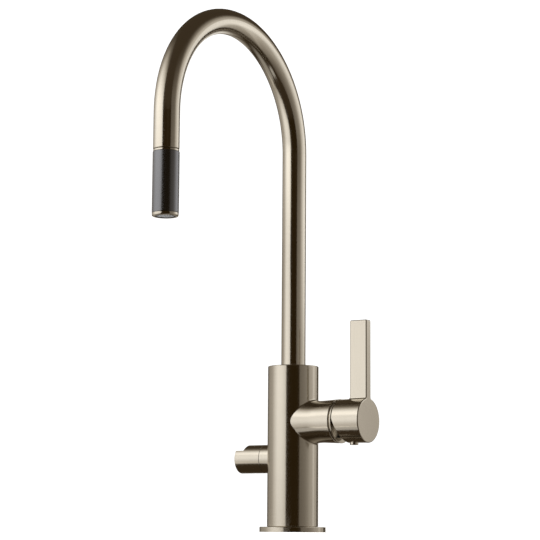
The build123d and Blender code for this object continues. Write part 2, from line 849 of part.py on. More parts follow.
def nipple_o_ring():
    return spout_end * o_ring(nipple_spigot_radius, nipple_o_ring_section, nipple_o_ring_height)


def swivel_nut():
    straight = top_ring_top + nut_cone_straight
    top = top_ring_top + nut_cone_height
    nut = rod(nut_thread_radius, nut_thread_low, top_ring_top) + rod(nut_cone_radius, top_ring_top, straight)
    nut = nut + taper(nut_cone_radius, nut_bore_radius + nut_cone_tip_wall, straight, top)
    seat_low = nipple_flange_start - slip_gap
    seat_high = nipple_flange_end + slip_gap
    nut = nut - rod(nipple_spigot_radius + running_gap, nut_thread_low, seat_low)
    nut = nut - rod(nipple_flange_radius + slip_gap, seat_low, seat_high)
    return spout_end * (nut - rod(nut_bore_radius, seat_high, top))


def handset_top_ring():
    return spout_end * ring(top_ring_radius, nut_thread_radius + slip_gap, sleeve_top, top_ring_top)


def grip_sleeve():
    sleeve = rod(sleeve_radius, sleeve_low, sleeve_top)
    sleeve = fillet(rims(sleeve, sleeve_low) + rims(sleeve, sleeve_top), sleeve_edge_round)
    return spout_end * (sleeve - rod(sleeve_radius - sleeve_wall, sleeve_low, sleeve_top))


def handset_core():
    core = rod(core_radius, sleeve_low, sleeve_top)
    core = core - rod(nut_thread_radius, filter_low, sleeve_top)
    core = core - rod(core_bore_radius, sleeve_low, filter_low)
    return spout_end * (core - rod(core_aerator_bore_radius, sleeve_low, core_ledge))


def handset_bottom_ring():
    band = rod(bottom_ring_radius, spray_face, sleeve_low)
    band = fillet(rims(band, spray_face), bottom_ring_edge_round)
    collar_top = sleeve_low + bottom_ring_collar_height
    band = band + rod(ring_collar_radius, sleeve_low, collar_top)
    band = band - rod(ring_collar_bore, spray_face, collar_top)
    flange_top = aerator_low + aerator_flange_thickness + slip_gap
    return spout_end * (band - rod(ring_flange_bore, spray_face, flange_top))


def inlet_filter():
    return spout_end * ring(nut_thread_radius - slip_gap, nipple_bore_radius, filter_low, nut_thread_low)


def check_valve():
    high = filter_low - slip_gap
    outer = core_bore_radius - running_gap
    return spout_end * ring(outer, check_valve_hole_radius, high - check_valve_length, high)


def aerator_washer():
    outer = core_aerator_bore_radius - slip_gap
    return spout_end * ring(outer, outer - aerator_washer_width, aerator_top, core_ledge)


def aerator_housing():
    housing = rod(aerator_face_radius, aerator_low, aerator_low + aerator_flange_thickness)
    housing = housing + rod(aerator_radius, aerator_low, aerator_top)
    return spout_end * (housing - rod(aerator_bore_radius, aerator_low, aerator_top))


def perforated_disc(low, high):
    holes = [rod(insert_hole_radius, low, high)]
    for row, ring_radius in enumerate(insert_ring_radii, 1):
        count = row * insert_first_ring_holes
        for step in range(count):
            angle = 2 * math.pi * step / count
            at = (ring_radius * math.cos(angle), ring_radius * math.sin(angle))
            holes.append(rod(insert_hole_radius, low, high, at))
    return spout_end * (rod(insert_radius, low, high) - holes)


def aerator_insert():
    low = aerator_low + insert_recess
    return perforated_disc(low, low + insert_thickness)


def aerator_screen():
    low = aerator_low + screen_rise
    return perforated_disc(low, low + screen_thickness)


makers = [
    base_plate, deck_gasket, threaded_shank, clamp_gasket, clamp_washer, mounting_nut, main_body,
    mixer_arm, trim_ring, cartridge_seals, cartridge_housing, cartridge_fixed_disc,
    cartridge_moving_disc, disc_carrier, cartridge_rotor, stem_pin, cartridge_stem, cartridge_nut,
    mixer_handle, handle_set_screw, set_screw_plug, valve_collar, valve_seal, valve_fixed_disc,
    valve_moving_disc, valve_headwork, valve_spindle, valve_spindle_o_ring, valve_knob,
    valve_set_screw, spout_tube, spout_foot, spout_o_rings, swivel_bearing_lower,
    swivel_bearing_upper, spout_cap_nut, swivel_stop_screw, docking_bush, hose_connector,
    hose_lower, hose_upper, hose_pull, hose_ferrule, hose_nipple, nipple_o_ring, swivel_nut,
    handset_top_ring, handset_core, grip_sleeve, handset_bottom_ring, inlet_filter, check_valve,
    aerator_washer, aerator_housing, aerator_screen, aerator_insert,
]

os.makedirs("parts", exist_ok=True)
for maker in makers:
    export_step(maker(), f"parts/{maker.__name__}.step")
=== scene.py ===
import json
import math

import bmesh
import bpy
from mathutils import Matrix, Vector


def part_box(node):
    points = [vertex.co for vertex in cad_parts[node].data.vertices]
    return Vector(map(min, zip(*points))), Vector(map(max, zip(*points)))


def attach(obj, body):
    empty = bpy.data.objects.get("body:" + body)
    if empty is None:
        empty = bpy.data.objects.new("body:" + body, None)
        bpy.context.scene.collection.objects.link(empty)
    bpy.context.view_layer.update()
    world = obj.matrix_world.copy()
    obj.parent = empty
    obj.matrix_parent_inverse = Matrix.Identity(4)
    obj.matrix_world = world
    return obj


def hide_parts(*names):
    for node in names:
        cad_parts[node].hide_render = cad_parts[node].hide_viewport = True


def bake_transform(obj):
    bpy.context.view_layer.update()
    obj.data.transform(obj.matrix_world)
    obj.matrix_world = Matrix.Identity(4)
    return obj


# A pull-out kitchen faucet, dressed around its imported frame. Metres, Z up, the deck is z = 0,
# the spout reaches towards -Y and the mixer knob is on +X.

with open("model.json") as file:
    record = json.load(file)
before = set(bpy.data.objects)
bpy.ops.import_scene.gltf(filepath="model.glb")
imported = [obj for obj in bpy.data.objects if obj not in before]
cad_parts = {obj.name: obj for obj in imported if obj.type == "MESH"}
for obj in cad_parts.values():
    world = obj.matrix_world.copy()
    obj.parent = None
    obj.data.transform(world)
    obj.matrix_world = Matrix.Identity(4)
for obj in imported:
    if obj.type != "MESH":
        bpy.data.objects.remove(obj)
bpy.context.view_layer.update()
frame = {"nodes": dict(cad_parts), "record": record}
nodes = frame["nodes"]
print("frame loaded,", len(nodes), "nodes")


viewpoint = {
    "distance": 1.74588,  # from the column's axis, along the deck
    "height": 0.00191,
    "around": math.radians(32.187),  # from -Y towards +X
    "turn": math.radians(0.7799),
    "pitch": math.radians(8.3369),
    "roll": math.radians(0.4117),
    "lens": 118.261,
    "sensor": 36.0,
    "clip": (0.01, 100.0),
}


def placeCamera(v):
    data = bpy.data.cameras.new("camera")
    data.lens = v["lens"]
    data.sensor_width = v["sensor"]
    data.clip_start, data.clip_end = v["clip"]
    camera = bpy.data.objects.new("camera", data)
    bpy.context.scene.collection.objects.link(camera)
    bearing = v["around"] + v["turn"]
    level = Vector((-math.sin(bearing), math.cos(bearing), 0.0))
    side = Vector((math.cos(bearing), math.sin(bearing), 0.0))
    up = Vector((0.0, 0.0, 1.0))
    ahead = level * math.cos(v["pitch"]) + up * math.sin(v["pitch"])
    top = up * math.cos(v["pitch"]) - level * math.sin(v["pitch"])
    right = side * math.cos(v["roll"]) + top * math.sin(v["roll"])
    above = top * math.cos(v["roll"]) - side * math.sin(v["roll"])
    turned = Matrix((right, above, -ahead)).transposed().to_4x4()
    east = math.sin(v["around"]) * v["distance"]
    south = -math.cos(v["around"]) * v["distance"]
    camera.matrix_world = Matrix.Translation(Vector((east, south, v["height"]))) @ turned
    bpy.context.scene.camera = camera


placeCamera(viewpoint)
print("camera placed")


class Wire:
    # an output socket: sums, products and comparisons on it become Math nodes
    def __init__(self, tree, socket):
        self.tree = tree
        self.socket = socket

    def out(self, name):
        return Wire(self.tree, self.socket.node.outputs[name])

    def reckon(self, operation, *values):
        node = self.tree.nodes.new("ShaderNodeMath")
        node.operation = operation
        for slot, value in zip(node.inputs, values):
            plug(self.tree, value, slot)
        return Wire(self.tree, node.outputs[0])

    def __add__(self, other):
        return self.reckon("ADD", self, other)

    def __sub__(self, other):
        return self.reckon("SUBTRACT", self, other)

    def __rsub__(self, other):
        return self.reckon("SUBTRACT", other, self)

    def __mul__(self, other):
        return self.reckon("MULTIPLY", self, other)

    def __truediv__(self, other):
        return self.reckon("DIVIDE", self, other)

    def __abs__(self):
        return self.reckon("ABSOLUTE", self)

    def __gt__(self, other):
        return self.reckon("GREATER_THAN", self, other)

    __radd__ = __add__
    __rmul__ = __mul__

    def least(self, other):
        return self.reckon("MINIMUM", self, other)

    def most(self, other):
        return self.reckon("MAXIMUM", self, other)

    def sine(self):
        return self.reckon("SINE", self)

    def cosine(self):
        return self.reckon("COSINE", self)

    def floor(self):
        return self.reckon("FLOOR", self)

    def fraction(self):
        return self.reckon("FRACT", self)

    def pingPong(self, span):
        return self.reckon("PINGPONG", self, span)

    def root(self):
        return self.reckon("SQRT", self)

    def sign(self):
        return self.reckon("SIGN", self)

    def angle(self, other):
        return self.reckon("ARCTAN2", self, other)

    def clamp(self):
        return self.most(0.0).least(1.0)

    def rise(self, start, end):
        # 0 before start, 1 after end, and smooth between them
        share = ((self - start) / (end - start)).clamp()
        return share * share * (3.0 - share * 2.0)


def plug(tree, value, slot):
    if isinstance(value, Wire):
        tree.links.new(value.socket, slot)
    else:
        slot.default_value = value


class Paint:
    # a shader tree that is being drawn
    def __init__(self, tree):
        self.tree = tree
        tree.nodes.clear()

    def node(self, kind, settings, values, out=0):
        made = self.tree.nodes.new("ShaderNode" + kind)
        for name, value in settings.items():
            if name == "stops":
                self.setStops(made.color_ramp.elements, value)
            else:
                setattr(made, name, value)
        for name, value in values.items():
            plug(self.tree, value, made.inputs[name])
        return Wire(self.tree, made.outputs[out]) if len(made.outputs) else made

    def setStops(self, elements, stops):
        while len(elements) < len(stops):
            elements.new(1.0)
        for element, (place, colour) in zip(elements, stops):
            element.position = place
            element.color = colour

    def point(self):
        split = self.node("SeparateXYZ", {}, {0: self.place()})
        return split.out("X"), split.out("Y"), split.out("Z")

    def join(self, x, y, z):
        return self.node("CombineXYZ", {}, {0: x, 1: y, 2: z})

    def place(self):
        return self.node("TexCoord", {}, {}, "Object")

    def noise(self, vector, scale, detail=2.0, roughness=0.5):
        return self.node("TexNoise", {"noise_dimensions": "3D"}, {
            "Vector": vector, "Scale": scale, "Detail": detail, "Roughness": roughness}, "Fac")

    def mix(self, share, first, second):
        return self.node("Mix", {"data_type": "RGBA"}, {0: share, 6: first, 7: second}, 2)

    def bump(self, height, strength, distance):
        return self.node("Bump", {}, {"Height": height, "Strength": strength, "Distance": distance})

    def finish(self, shader):
        self.node("OutputMaterial", {}, {"Surface": shader})


def newPaint(name):
    material = bpy.data.materials.new(name)
    material.use_nodes = True
    return material, Paint(material.node_tree)


def shade(red, green, blue):
    return (red, green, blue, 1.0)


spoutLine = {
    "reach": 0.1083,  # the arch's radius
    "height": 0.3745,  # of its centre
}


def alongSpout(x, y, z):
    # how far along the spout's centre line a point lies, and how far out from the arch's centre
    beyond = y + spoutLine["reach"]
    over = (z - spoutLine["height"]).most(0.0)
    below = (z - spoutLine["height"]).least(0.0)
    along = over.angle(beyond) * spoutLine["reach"] + below * beyond.sign()
    outwards = (beyond * beyond + over * over).root() - spoutLine["reach"]
    return along, outwards


bronzeLook = {
    "light": shade(0.645, 0.607, 0.534),
    "deep": shade(0.575, 0.541, 0.476),
    "roughness": 0.16,
    "roughnessSpread": 0.06,
    "lines": 1600.0,  # brush lines in a metre
    "lineLength": 45.0,
    "fineLines": 5200.0,
    "fineLength": 135.0,
    "clouds": 55.0,
    "shares": (0.5, 0.3, 0.2),  # how much lines, fine lines and clouds count in the tone
    "contrast": 2.2,
    "relief": (0.6, 0.4),  # how much lines and fine lines count in the bump
    "bump": 0.05,
    "bumpDepth": 0.000012,
}


def bronze(name, grain):
    look = bronzeLook
    material, paint = newPaint(name)
    across, first, second = grain(paint, *paint.point())
    stroke = paint.join(across * look["lines"], first * look["lineLength"], second * look["lineLength"])
    fine = paint.join(across * look["fineLines"], first * look["fineLength"], second * look["fineLength"])
    lines = paint.noise(stroke, 1.0, detail=3.0, roughness=0.6)
    hair = paint.noise(fine, 1.0, roughness=0.6)
    cloud = paint.noise(paint.place(), look["clouds"])
    ofLines, ofHair, ofCloud = look["shares"]
    mixed = lines * ofLines + hair * ofHair + cloud * ofCloud
    tone = ((mixed - 0.5) * look["contrast"] + 0.5).clamp()
    height = lines * look["relief"][0] + hair * look["relief"][1]
    paint.finish(paint.node("BsdfPrincipled", {}, {
        "Base Color": paint.mix(tone, look["deep"], look["light"]), "Metallic": 1.0,
        "Roughness": (mixed - 0.5) * look["roughnessSpread"] + look["roughness"],
        "Normal": paint.bump(height, look["bump"], look["bumpDepth"])}))
    return material


# each grain takes a point and gives its place across the brush lines, then its two places along them
def ringsAroundZ(paint, x, y, z):
    return z, x, y


def ringsAroundX(paint, x, y, z):
    return x, y, z


def ringsAlongSpout(paint, x, y, z):
    along, outwards = alongSpout(x, y, z)
    return along, x, outwards


handleFaces = {"end": 0.0852, "blade": 0.1275}  # x of the knob's end face, z where the blade begins


def handleGrain(paint, x, y, z):
    # rings round the knob's barrel, and upright lines on its end face and the blade
    upright = (x > handleFaces["end"]).most(z > handleFaces["blade"])
    return x + y * upright, z, y * (1.0 - upright)


skinLook = {
    "fineShare": 0.6,
    "cloudShare": 0.4,
    "cloudSize": 12.0,  # in specks
}


def plainPaint(name, colours, roughness, specks, bump, metallic=0.0):
    # a moulded, cast or turned finish with a fine uneven skin, so many specks in a metre;
    # roughness holds the value and its spread, bump the strength and its depth
    material, paint = newPaint(name)
    skin = paint.noise(paint.place(), specks, detail=4.0, roughness=0.6)
    cloud = paint.noise(paint.place(), specks / skinLook["cloudSize"])
    mixed = skin * skinLook["fineShare"] + cloud * skinLook["cloudShare"]
    paint.finish(paint.node("BsdfPrincipled", {}, {
        "Base Color": paint.mix(mixed, *colours), "Metallic": metallic,
        "Roughness": (mixed - 0.5) * roughness[1] + roughness[0], "IOR": 1.5,
        "Normal": paint.bump(skin, *bump)}))
    return material


finishes = {
    "grip_black": plainPaint("gripBlack", (shade(0.2, 0.205, 0.222), shade(0.22, 0.226, 0.245)),
                             (0.27, 0.05), 4200.0, (0.015, 0.00001), metallic=1.0),
    "aerator_black": plainPaint("aeratorBlack", (shade(0.015, 0.015, 0.017), shade(0.03, 0.03, 0.033)),
                                (0.4, 0.1), 2200.0, (0.1, 0.00003)),
    "aerator_grey": plainPaint("aeratorGrey", (shade(0.22, 0.23, 0.24), shade(0.30, 0.31, 0.32)),
                               (0.42, 0.1), 2200.0, (0.1, 0.00003)),
    "acetal_white": plainPaint("acetalWhite", (shade(0.78, 0.77, 0.73), shade(0.86, 0.85, 0.82)),
                               (0.38, 0.1), 1500.0, (0.08, 0.00003)),
    "cartridge_grey": plainPaint("cartridgeGrey", (shade(0.30, 0.31, 0.32), shade(0.38, 0.39, 0.40)),
                                 (0.45, 0.1), 1500.0, (0.1, 0.00003)),
    "ceramic": plainPaint("ceramicWhite", (shade(0.82, 0.79, 0.73), shade(0.88, 0.86, 0.81)),
                          (0.14, 0.06), 900.0, (0.03, 0.00002)),
    "brass_raw": plainPaint("turnedBrass", (shade(0.62, 0.44, 0.17), shade(0.74, 0.55, 0.25)),
                            (0.3, 0.14), 1800.0, (0.1, 0.00003), metallic=1.0),
    "steel": plainPaint("turnedSteel", (shade(0.48, 0.48, 0.48), shade(0.60, 0.60, 0.59)),
                        (0.3, 0.12), 1800.0, (0.1, 0.00003), metallic=1.0),
    "rubber_black": plainPaint("rubberBlack", (shade(0.014, 0.014, 0.014), shade(0.03, 0.03, 0.03)),
                               (0.62, 0.14), 2600.0, (0.2, 0.00004)),
    "hose_braid": plainPaint("hoseBraid", (shade(0.2, 0.2, 0.21), shade(0.3, 0.3, 0.31)),
                             (0.5, 0.14), 2600.0, (0.2, 0.00004)),
}
bodyFinish = bronze("bronzeColumn", ringsAroundZ)
armFinish = bronze("bronzeArm", ringsAroundX)
bronzeOf = {
    "spout_tube": bronze("bronzeSpout", ringsAlongSpout),
    "mixer_handle": bronze("bronzeHandle", handleGrain),
    "mixer_arm": armFinish,
    "trim_ring": armFinish,
    "valve_collar": armFinish,
    "valve_knob": armFinish,
}
for subpart in frame["record"]["subparts"]:
    name, slot = subpart["node"], subpart["material_slot"]
    material = bronzeOf.get(name, bodyFinish) if slot == "satin_bronze" else finishes[slot]
    nodes[name].material_slots[0].material = material
print("finishes given to the frame")


# The studio: a pale floor, a white surround and soft panels that stand round the faucet. A panel's plan
# goes from one point of the floor to another, across gives its light along that line and up by its height.
studio = {
    "white": shade(1.16, 1.16, 1.16),
    "dim": shade(0.0273, 0.0156, 0.0044),
    "warm": shade(1.0, 0.90, 0.76),
    "clear": shade(1.0, 0.975, 0.935),
    "floorSize": 24.0,
    "floorLight": shade(0.92, 0.92, 0.92),
    "floorDeep": shade(0.88, 0.88, 0.875),
    "floorSpecks": 90.0,  # in a metre
}
panels = {
    "leftPanel": {
        "plan": ((0.0, -1.1), (-1.445, 0.773)), "low": -0.6, "high": 1.65,
        "layers": ({
            "across": ((0.0, 0.77), (0.075, 0.85), (0.19, 1.0), (0.31, 1.04), (0.39, 0.78), (0.43, 0.63),
                       (0.47, 0.46), (0.56, 0.37), (0.65, 0.35), (0.75, 0.26), (1.0, 0.24)),
            "up": ((-0.6, 0.6), (-0.3, 0.6), (-0.15, 0.7), (0.0, 0.94), (0.1, 1.12), (0.2, 1.2),
                   (0.32, 1.16), (0.41, 1.14), (0.49, 1.52), (0.62, 1.48), (0.69, 1.38), (0.77, 1.2),
                   (0.88, 0.95), (1.0, 0.66), (1.13, 0.42), (1.3, 0.15), (1.5, 0.08), (1.65, 0.06)),
        },),
        # its lower edge runs from one height to another between two places along the plan
        "edge": {"heights": (-0.08, -0.33), "between": (0.08, 0.18), "soft": 0.05},
    },
    "rightPanel": {
        "plan": ((0.774, -0.447), (0.39, 1.58)), "low": -1.8, "high": 1.4,
        "layers": ({
            "across": ((0.0, 0.2), (0.09, 0.22), (0.2, 0.28), (0.29, 0.4), (0.35, 0.55), (0.44, 0.6),
                       (0.47, 0.68), (0.52, 0.98), (0.56, 0.82), (0.61, 0.58), (1.0, 0.62)),
            "up": ((-1.8, 0.05), (-1.2, 0.3), (-0.7, 0.5), (-0.32, 0.58), (-0.08, 0.72), (0.1, 0.86),
                   (0.26, 0.97), (0.35, 1.0), (0.45, 0.8), (0.55, 0.45), (0.7, 0.25), (0.8, 0.1),
                   (1.0, 0.0)),
        }, {
            "across": ((0.22, 0.05), (0.28, 0.22), (0.33, 0.42), (0.40, 0.64), (0.48, 0.8), (0.6, 0.92),
                       (0.77, 0.88), (0.84, 0.86), (1.0, 0.65)),
            "up": ((0.2, 0.0), (0.28, 0.05), (0.41, 0.55), (0.5, 0.85), (0.57, 1.0), (0.66, 1.0),
                   (0.78, 0.9), (0.96, 0.45), (1.07, 0.35), (1.21, 0.08), (1.4, 0.0)),
        }),
    },
    "rearPanel": {
        "plan": ((-1.418, 1.108), (-0.063, 1.799)), "low": -0.9, "high": 1.2,
        "layers": ({
            "across": ((0.0, 1.0), (0.28, 0.9), (0.4, 0.0)),
            "up": ((-0.9, 0.04), (-0.6, 0.1), (-0.03, 0.3), (0.3, 0.32), (0.6, 0.2), (1.2, 0.0)),
        }, {
            "across": ((0.0, 0.0), (0.36, 0.12), (0.45, 0.7), (0.53, 1.0), (0.63, 0.95), (0.75, 0.5),
                       (0.83, 0.38), (1.0, 0.2)),
            "up": ((-0.9, 0.08), (-0.59, 0.15), (-0.28, 0.25), (-0.17, 0.42), (0.03, 0.75), (0.23, 1.0),
                   (0.75, 1.0), (1.0, 0.6), (1.2, 0.3)),
        }),
    },
}


def rampOf(stops, low, high):
    return {"stops": [((place - low) / (high - low), shade(value, value, value)) for place, value in stops]}


def newLight(name, width, height):
    # gives a rectangle of light, its nodes, and where in the world a point of it lies
    light = bpy.data.lights.new(name, "AREA")
    light.shape = "RECTANGLE"
    light.size, light.size_y = width, height
    light.energy = math.pi * width * height  # so the strength in its nodes is what a reflection shows
    light.use_nodes = True
    paint = Paint(light.node_tree)
    return light, paint, paint.node("SeparateXYZ", {}, {0: paint.node("NewGeometry", {}, {}, "Position")})


def hangLight(name, light, paint, colour, strength, matrix):
    shader = paint.node("Emission", {}, {"Color": colour, "Strength": strength})
    paint.node("OutputLight", {}, {"Surface": shader})
    hung = bpy.data.objects.new(name, light)
    bpy.context.scene.collection.objects.link(hung)
    hung.matrix_world = matrix
    hung.visible_camera = False


def addPanel(name, p):
    start, end = (Vector((x, y, 0.0)) for x, y in p["plan"])
    width = (end - start).length
    height = p["high"] - p["low"]
    light, paint, where = newLight(name, width, height)
    line = (end - start) / (width * width)
    along = (where.out("X") - start.x) * line.x + (where.out("Y") - start.y) * line.y
    level = (where.out("Z") - p["low"]) / height
    strength = 0.0
    for layer in p["layers"]:
        across = paint.node("ValToRGB", rampOf(layer["across"], 0.0, 1.0), {0: along})
        up = paint.node("ValToRGB", rampOf(layer["up"], p["low"], p["high"]), {0: level})
        strength = across * up + strength
    if "edge" in p:
        first, second = p["edge"]["heights"]
        edge = along.rise(*p["edge"]["between"]) * (second - first) + first
        strength = strength * ((where.out("Z") - edge) / p["edge"]["soft"]).clamp()
    colour = paint.mix(strength.clamp(), studio["warm"], studio["clear"])
    outwards = Vector((end.y - start.y, start.x - end.x, 0.0)).normalized()
    middle = (start + end) / 2.0
    if middle.dot(outwards) < 0.0:
        outwards.negate()
    side = Vector((0.0, 0.0, 1.0)).cross(outwards)
    turned = Matrix((side, (0.0, 0.0, 1.0), outwards)).transposed().to_4x4()
    place = middle + Vector((0.0, 0.0, p["low"] + height / 2.0))
    hangLight(name, light, paint, colour, strength, Matrix.Translation(place) @ turned)


for name, settings in panels.items():
    addPanel(name, settings)


def lightSurround():
    # white to look at and to be lit by, dim in reflections
    world = bpy.data.worlds.new("studio")
    world.use_nodes = True
    bpy.context.scene.world = world
    sky = Paint(world.node_tree)
    glossy = sky.node("LightPath", {}, {}, "Is Glossy Ray")
    around = sky.mix(glossy, studio["white"], studio["dim"])
    sky.node("OutputWorld", {}, {"Surface": sky.node("Background", {}, {"Color": around, "Strength": 1.0})})


lightSurround()


# Lights that lie level and face the faucet. The two patches are what the pale floor shows in reflections,
# and a fade gives where a patch begins and where it is full.
glows = {
    "overhead": {"place": (0.0, 0.0, 1.5), "size": (7.0, 7.0), "light": shade(0.036, 0.030, 0.023)},
    "underneath": {"place": (0.0, 0.0, -0.5), "size": (4.0, 4.0), "light": shade(0.020, 0.016, 0.012)},
    "frontPatch": {"place": (-0.025, -0.14, -0.001), "size": (0.15, 0.09),
                   "light": shade(0.52, 0.503, 0.474)},
    "leftPatch": {"place": (-0.365, 0.07, -0.001), "size": (0.51, 0.5), "light": shade(0.36, 0.342, 0.31),
                  "fades": {"X": (-0.10, -0.24), "Y": (0.32, 0.02)}},
}


def addGlow(name, g):
    light, paint, where = newLight(name, *g["size"])
    strength = 1.0
    for side, (begin, full) in g.get("fades", {}).items():
        strength = where.out(side).rise(begin, full) * strength
    over = Matrix.Rotation(math.pi if g["place"][2] < 0.0 else 0.0, 4, "X")
    hangLight(name, light, paint, g["light"], strength, Matrix.Translation(Vector(g["place"])) @ over)


for name, settings in glows.items():
    addGlow(name, settings)


def layFloor():
    mesh = bpy.data.meshes.new("floor")
    half = studio["floorSize"] / 2.0
    corners = [(-half, -half, 0.0), (half, -half, 0.0), (half, half, 0.0), (-half, half, 0.0)]
    mesh.from_pydata(corners, [], [(0, 1, 2, 3)])
    floor = bpy.data.objects.new("floor", mesh)
    bpy.context.scene.collection.objects.link(floor)
    material, paint = newPaint("paleFloor")
    speckle = paint.noise(paint.place(), studio["floorSpecks"], detail=4.0, roughness=0.6)
    paint.finish(paint.node("BsdfDiffuse", {}, {
        "Color": paint.mix(speckle, studio["floorDeep"], studio["floorLight"])}))
    mesh.materials.append(material)
    floor.visible_glossy = False
    floor.visible_shadow = False
    return floor


layFloor()
bpy.context.scene.view_settings.view_transform = "Standard"
print("studio lit")


class Geometry:
    # a geometry tree that is being drawn, with named inputs
    def __init__(self, name, sizes):
        self.tree = bpy.data.node_groups.new(name, "GeometryNodeTree")
        face = self.tree.interface
        face.new_socket("Geometry", in_out="INPUT", socket_type="NodeSocketGeometry")
        self.sockets = {}
        for label, kind in sizes.items():
            made = face.new_socket(label, in_out="INPUT", socket_type="NodeSocket" + kind)
            self.sockets[label] = made.identifier
        face.new_socket("Geometry", in_out="OUTPUT", socket_type="NodeSocketGeometry")
        self.inlet = self.tree.nodes.new("NodeGroupInput")

    def given(self, label):
        return Wire(self.tree, self.inlet.outputs[label])

    def node(self, kind, settings, values, out=0):
        made = self.tree.nodes.new(kind)
        for name, value in settings.items():
            if name == "capture":
                made.capture_items.new("VECTOR", value)
            else:
                setattr(made, name, value)
        for name, value in values.items():
            plug(self.tree, value, made.inputs[name])
        return Wire(self.tree, made.outputs[out])

    def vector(self, operation, first, second):
        return self.node("ShaderNodeVectorMath", {"operation": operation}, {0: first, 1: second})

    def stretched(self, vector, amount):
        return self.node("ShaderNodeVectorMath", {"operation": "SCALE"}, {0: vector, "Scale": amount})

    def join(self, geometries):
        made = self.tree.nodes.new("GeometryNodeJoinGeometry")
        for geometry in geometries:
            self.tree.links.new(geometry.socket, made.inputs[0])
        return Wire(self.tree, made.outputs[0])

    def finish(self, geometry):
        solid = self.node("GeometryNodeRealizeInstances", {}, {"Geometry": geometry})
        painted = self.node("GeometryNodeSetMaterial", {}, {
            "Geometry": solid, "Material": self.given("Material")})
        outlet = self.tree.nodes.new("NodeGroupOutput")
        self.tree.links.new(painted.socket, outlet.inputs["Geometry"])


def grow(name, source, geometry, sizes):
    # the plain mesh that a geometry tree makes out of a source object
    modifier = source.modifiers.new(name, "NODES")
    modifier.node_group = geometry.tree
    for label, value in sizes.items():
        modifier[geometry.sockets[label]] = value
    bpy.context.view_layer.update()
    evaluated = source.evaluated_get(bpy.context.evaluated_depsgraph_get())
    mesh = bpy.data.meshes.new_from_object(evaluated)
    source.modifiers.remove(modifier)
    bpy.data.objects.remove(source)
    mesh.name = name
    return addPiece(name, mesh)


def addPiece(name, mesh):
    piece = bpy.data.objects.new(name, mesh)
    bpy.context.scene.collection.objects.link(piece)
    return piece


def lathe(name, outline, centre, sides, material):
    # a closed outline of (radius, height) pairs, turned round an upright axis through centre
    shape = bmesh.new()
    east, north = centre
    turns = [2.0 * math.pi * k / sides for k in range(sides)]
    rings = []
    for radius, height in outline:
        ring = [(east + radius * math.cos(turn), north + radius * math.sin(turn)) for turn in turns]
        rings.append([shape.verts.new((x, y, height)) for x, y in ring])
    for i, ring in enumerate(rings):
        after = rings[(i + 1) % len(rings)]
        for k in range(sides):
            shape.faces.new((ring[k], ring[(k + 1) % sides], after[(k + 1) % sides], after[k]))
    bmesh.ops.recalc_face_normals(shape, faces=shape.faces)
    mesh = bpy.data.meshes.new(name)
    shape.to_mesh(mesh)
    shape.free()
    mesh.materials.append(material)
    return addPiece(name, mesh)


# The pull-out hose: a rubber liner in a braid of flat ribbons, each of a few filaments side by side.
hose = {
    "axis": (0.0, -2.0 * spoutLine["reach"]),  # where it hangs in the spout's short leg
    "radius": 0.0055,  # over the braid
    "bore": 0.0033,
    "linerRadius": 0.0049,
    "ribbons": 12,  # each way round
    "turns": 27.0,  # in a metre
    "ribbonWidth": 0.00185,
    "ribbonThickness": 0.00024,
    "ribbonCorners": 6,
    "weave": 0.00014,
    "filaments": 4.0,
    "faceGap": 0.00005,  # between the run that turns with the spout and the one below it
    "linerSides": 32,
    "linerStep": 0.004,
    "archBends": 96,
    "pullSides": 64,
    "pullRings": 120,
    "light": shade(0.30, 0.30, 0.31),
    # painted shade: the colour that the braid's filament grooves and ribbon dips are darkened towards
    "paintedFibreShade": shade(0.05, 0.05, 0.055),
    "liner": (shade(0.02, 0.02, 0.022), shade(0.035, 0.035, 0.037)),
}
ribbonLook = {
    "filament": 0.75,
    "fuzz": 0.35,
    "fuzzSpecks": 1800.0,  # in a metre
    "roughness": 0.5,
    "sheen": 0.15,
    "relief": (0.8, 0.2),  # how much filaments and fuzz count in the bump
    "bump": 0.6,
    "bumpDepth": 0.00008,
}
weaveLook = {
    "crown": 0.55,
    "filament": 0.4,
    "roundness": 0.7,
    "roughness": 0.6,
    "sheen": 0.2,
    "relief": (0.7, 0.3),  # how much crown and filaments count in the bump
    "bump": 0.7,
    "bumpDepth": 0.0003,
}


def filamentsAcross(across):
    # the filaments of a ribbon that goes from -1 to 1
    return abs((across * (math.pi * hose["filaments"] / 2.0)).sine())


def ribbonPaint(name):
    # woven ribbons: the attribute "across" runs over a ribbon from -1 to 1. Each filament is painted
    # lighter on its crest and darker in the grooves between filaments, as painted shade, while the fuzz
    # gives a random tone.
    look = ribbonLook
    material, paint = newPaint(name)
    filament = filamentsAcross(paint.node("Attribute", {"attribute_name": "across"}, {}, "Fac"))
    fuzz = paint.noise(paint.place(), look["fuzzSpecks"], detail=3.0, roughness=0.6)
    # painted shade: the tone drops in the grooves between filaments, and the fuzz adds random tone
    share = (filament * look["filament"] + fuzz * look["fuzz"]).clamp()
    height = filament * look["relief"][0] + fuzz * look["relief"][1]
    paint.finish(paint.node("BsdfPrincipled", {}, {
        "Base Color": paint.mix(share, hose["paintedFibreShade"], hose["light"]),
        "Roughness": look["roughness"] - fuzz * look["sheen"],
        "Normal": paint.bump(height, look["bump"], look["bumpDepth"])}))
    return material


